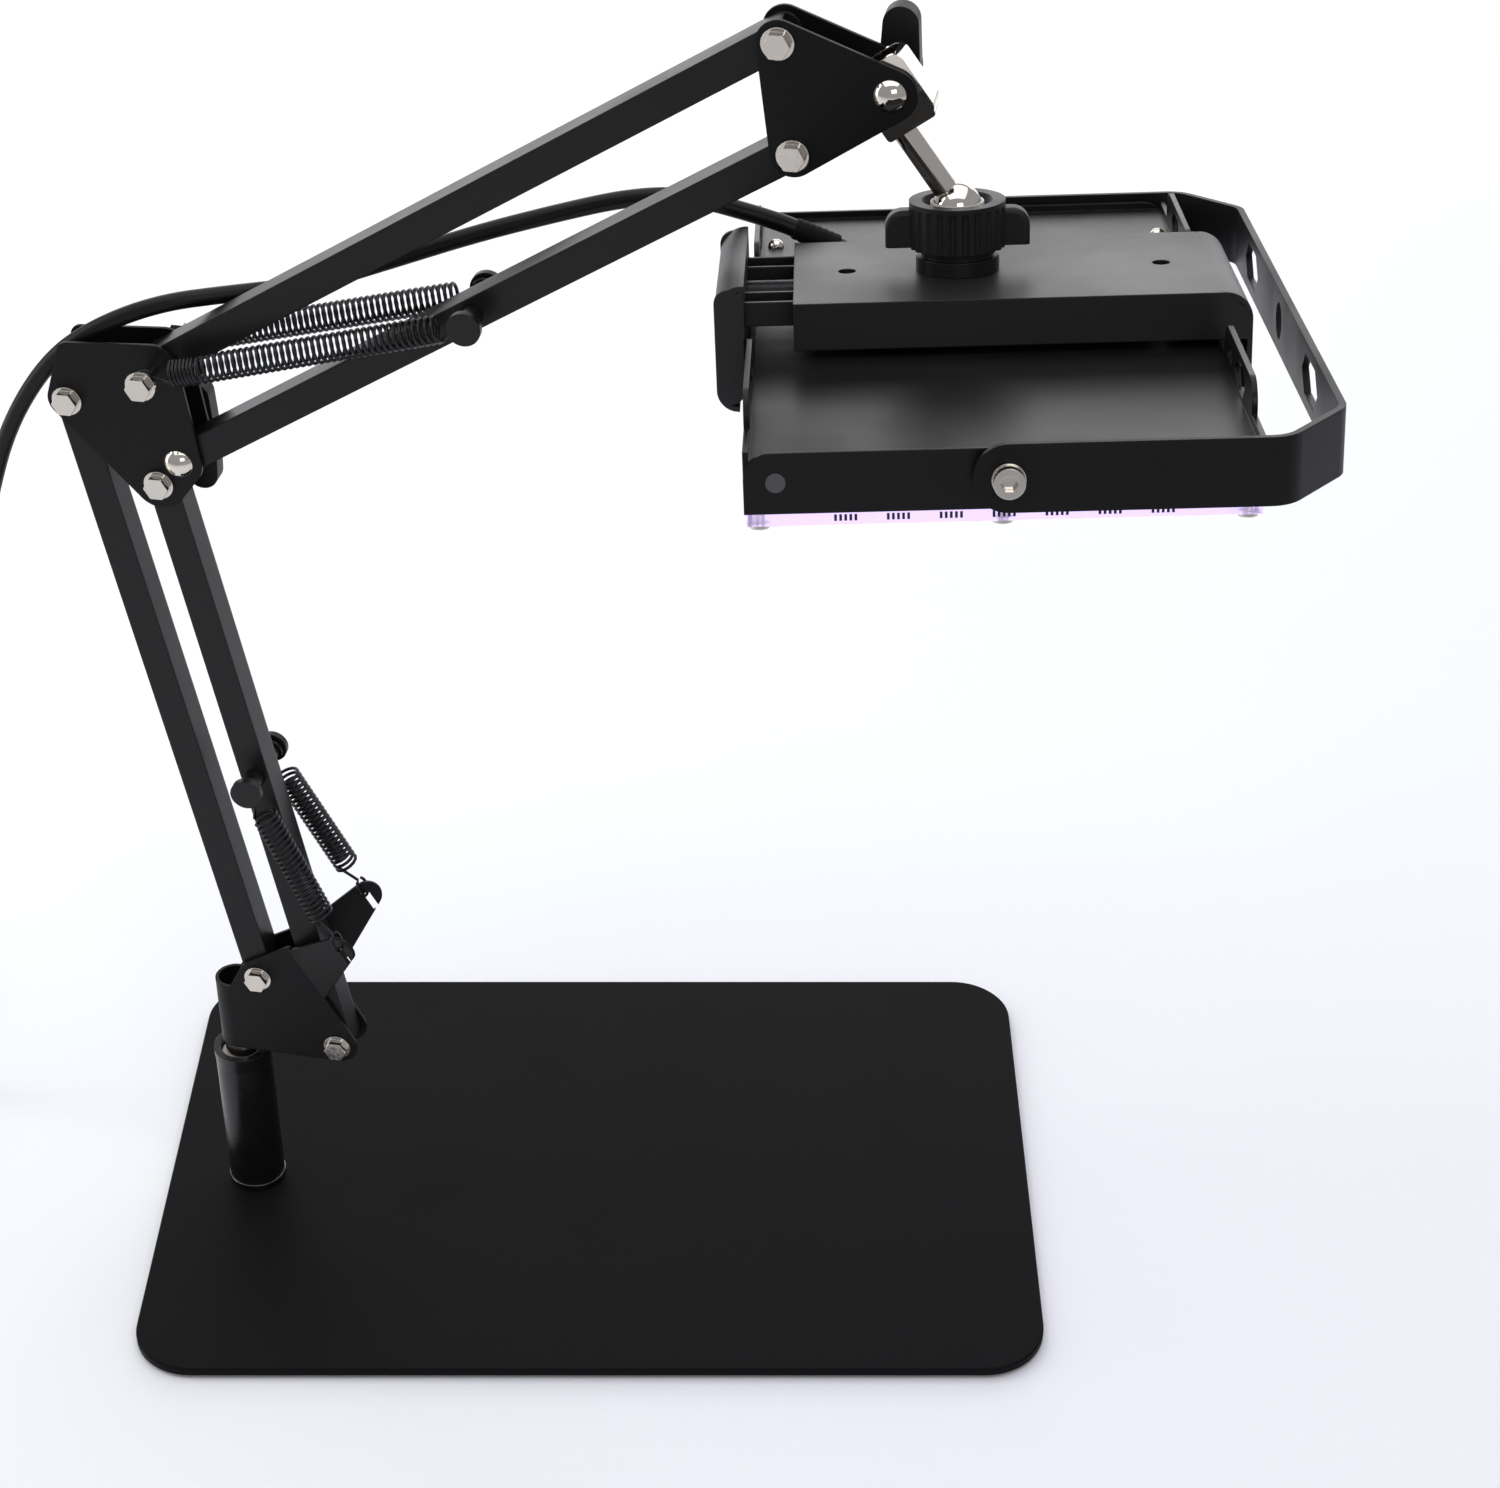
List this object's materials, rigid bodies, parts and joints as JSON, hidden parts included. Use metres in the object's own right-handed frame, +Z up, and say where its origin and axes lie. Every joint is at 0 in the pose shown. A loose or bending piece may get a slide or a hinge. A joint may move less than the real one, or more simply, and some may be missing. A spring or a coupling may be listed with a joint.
{
  "type": "screen printing exposure unit",
  "caption": "Tabletop exposure lamp: flat LED panel held by a sliding-jaw clamp on a ball joint, carried over a steel base plate by a sprung two-stage arm.",
  "frame": {"origin": "where the post's axis meets the table", "axes": "+Z up, +X along the base plate towards the lamp, +Y to the rear"},
  "size_m": [0.5803, 0.343, 0.4678],
  "materials": {
    "black_steel": "matt powder coat",
    "nickel": "bright",
    "zinc": "zinc plated",
    "dark_chrome": "dark bright plate",
    "spring_steel": "bright wire",
    "black_plastic": "moulded",
    "nylon": "moulded",
    "rubber": "matt",
    "black_satin": "satin",
    "clear": "clear",
    "board": "white solder mask",
    "violet": "lit",
    "cord": "smooth sheath",
    "brass": "plain"
  },
  "bodies": {
    "base": {"base_plate": "black_steel", "base_feet": "rubber", "post_screw": "zinc", "post_ring": "dark_chrome", "post_core": "zinc", "post_sleeve": "black_plastic", "spindle_bush": "nylon", "cord_lower": "cord", "cord_coil": "cord", "plug_body": "black_plastic", "plug_pins": "brass"},
    "bracket": {"lower_bracket": "black_steel", "bracket_spindle": "zinc", "bracket_bolts": "zinc", "bracket_washers": "nylon"},
    "lower_arm": {"lower_tube_left": "black_satin"},
    "lower_link": {"lower_tube_right": "black_satin", "lower_spring_stud": "black_plastic", "lower_spring_front": "spring_steel", "lower_spring_rear": "spring_steel"},
    "elbow": {"elbow_plates": "black_steel", "elbow_bolts": "zinc", "spring_bolt": "zinc", "elbow_washers": "nylon", "elbow_knob_bolt": "nickel"},
    "upper_arm": {"upper_tube_top": "black_satin"},
    "upper_link": {"upper_tube_bottom": "black_satin", "upper_spring_stud": "black_plastic", "upper_spring_front": "spring_steel", "upper_spring_rear": "spring_steel"},
    "head": {"head_plates": "black_steel", "head_bolts": "zinc", "head_washers": "nylon", "saddle_bolt": "nickel"},
    "saddle": {"head_saddle": "nickel", "ball_stem": "nickel"},
    "ball": {"ball": "nickel"},
    "ball_liner": {"ball_liner": "nylon"},
    "lamp": {"ball_cup": "black_plastic", "clamp_shell": "black_steel", "jaw_pad_right": "rubber", "jaw_spring": "spring_steel", "lamp_housing": "black_steel", "led_board": "board", "led_strips": "violet", "lamp_posts": "zinc", "lamp_cover": "clear", "lamp_screws": "zinc", "cord_gland": "black_plastic", "cord_box": "black_plastic", "yoke_screws": "zinc", "yoke_washers": "zinc", "cord_upper": "cord"},
    "clamp_nut": {"clamp_nut": "black_plastic"},
    "jaw": {"clamp_jaw": "black_steel", "clamp_rails": "black_steel", "jaw_pad_left": "rubber"},
    "yoke": {"yoke": "black_steel"},
    "elbow_knob": {"elbow_knob": "black_plastic"},
    "head_knob": {"head_knob": "black_plastic"}
  },
  "joints": [
    {"name": "base_swivel", "type": "hinge", "parent": "base", "child": "bracket", "pos_m": [0, 0, 0.07], "axis": [0, 0, 1], "range_deg": [-120, 120]},
    {"name": "lower_arm", "type": "hinge", "parent": "bracket", "child": "lower_arm", "pos_m": [0.01152, -0.00203, 0.105], "axis": [0.1736, 0.9848, 0], "range_deg": [-14, 40]},
    {"name": "lower_link", "type": "hinge", "parent": "bracket", "child": "lower_link", "pos_m": [0.03798, -0.0067, 0.07756], "axis": [0.1736, 0.9848, 0], "range_deg": [-14, 40], "deforming": ["lower_spring_front", "lower_spring_rear"]},
    {"name": "elbow", "type": "hinge", "parent": "lower_arm", "child": "elbow", "pos_m": [-0.02852, 0.00503, 0.32985], "axis": [0.1736, 0.9848, 0], "range_deg": [-40, 14], "deforming": ["cord_lower"]},
    {"name": "upper_arm", "type": "hinge", "parent": "elbow", "child": "upper_arm", "pos_m": [0.00043, -0.00008, 0.34295], "axis": [0.1736, 0.9848, 0], "range_deg": [-12, 35]},
    {"name": "upper_link", "type": "hinge", "parent": "elbow", "child": "upper_link", "pos_m": [0.00487, -0.00086, 0.31006], "axis": [0.1736, 0.9848, 0], "range_deg": [-12, 35], "deforming": ["upper_spring_front", "upper_spring_rear"]},
    {"name": "head", "type": "hinge", "parent": "upper_arm", "child": "head", "pos_m": [0.19292, -0.03402, 0.46132], "axis": [0.1736, 0.9848, 0], "range_deg": [-35, 12]},
    {"name": "head_pivot", "type": "hinge", "parent": "head", "child": "saddle", "pos_m": [0.22423, -0.03954, 0.44782], "axis": [0.1736, 0.9848, 0], "range_deg": [-45, 4]},
    {"name": "ball_twist", "type": "hinge", "parent": "saddle", "child": "ball", "pos_m": [0.24328, -0.0429, 0.41354], "axis": [-0.5789, 0.1021, 0.809], "range_deg": [-25, 25]},
    {"name": "ball_tilt", "type": "hinge", "parent": "ball", "child": "ball_liner", "pos_m": [0.24328, -0.0429, 0.41354], "axis": [-0.0735, 0.9816, -0.1764], "range_deg": [-30, 4]},
    {"name": "ball_spin", "type": "hinge", "parent": "ball_liner", "child": "lamp", "pos_m": [0.24328, -0.0429, 0.41354], "axis": [-0.0347, 0.1743, 0.9841], "range_deg": [-45, 35], "deforming": ["cord_upper"]},
    {"name": "clamp_screw", "type": "hinge", "parent": "lamp", "child": "clamp_nut", "pos_m": [0.24328, -0.0429, 0.41354], "axis": [-0.0347, 0.1743, 0.9841], "range_deg": [-60, 60]},
    {"name": "jaw_slide", "type": "slide", "parent": "lamp", "child": "jaw", "axis": [-0.9992, 0.0143, -0.0378], "range_m": [0, 0.025], "stiffness_N_per_m": 600, "springref_m": -0.02, "deforming": ["jaw_spring"]},
    {"name": "yoke_tilt", "type": "hinge", "parent": "lamp", "child": "yoke", "pos_m": [0.25202, -0.04975, 0.37574], "axis": [0.0206, 0.9846, -0.1736], "range_deg": [-40, 150]},
    {"name": "elbow_knob_turn", "type": "hinge", "parent": "elbow", "child": "elbow_knob", "pos_m": [0.00747, 0.01391, 0.31006], "axis": [0.1736, 0.9848, 0], "range_deg": [-90, 90]},
    {"name": "head_knob_turn", "type": "hinge", "parent": "head", "child": "head_knob", "pos_m": [0.22684, -0.02477, 0.44782], "axis": [0.1736, 0.9848, 0], "range_deg": [-90, 90]}
  ],
  "couplings": [
    {"joint": "lower_link", "follows": "lower_arm", "ratio": 1},
    {"joint": "elbow", "follows": "lower_arm", "ratio": -1},
    {"joint": "upper_link", "follows": "upper_arm", "ratio": 1},
    {"joint": "head", "follows": "upper_arm", "ratio": -1}
  ]
}
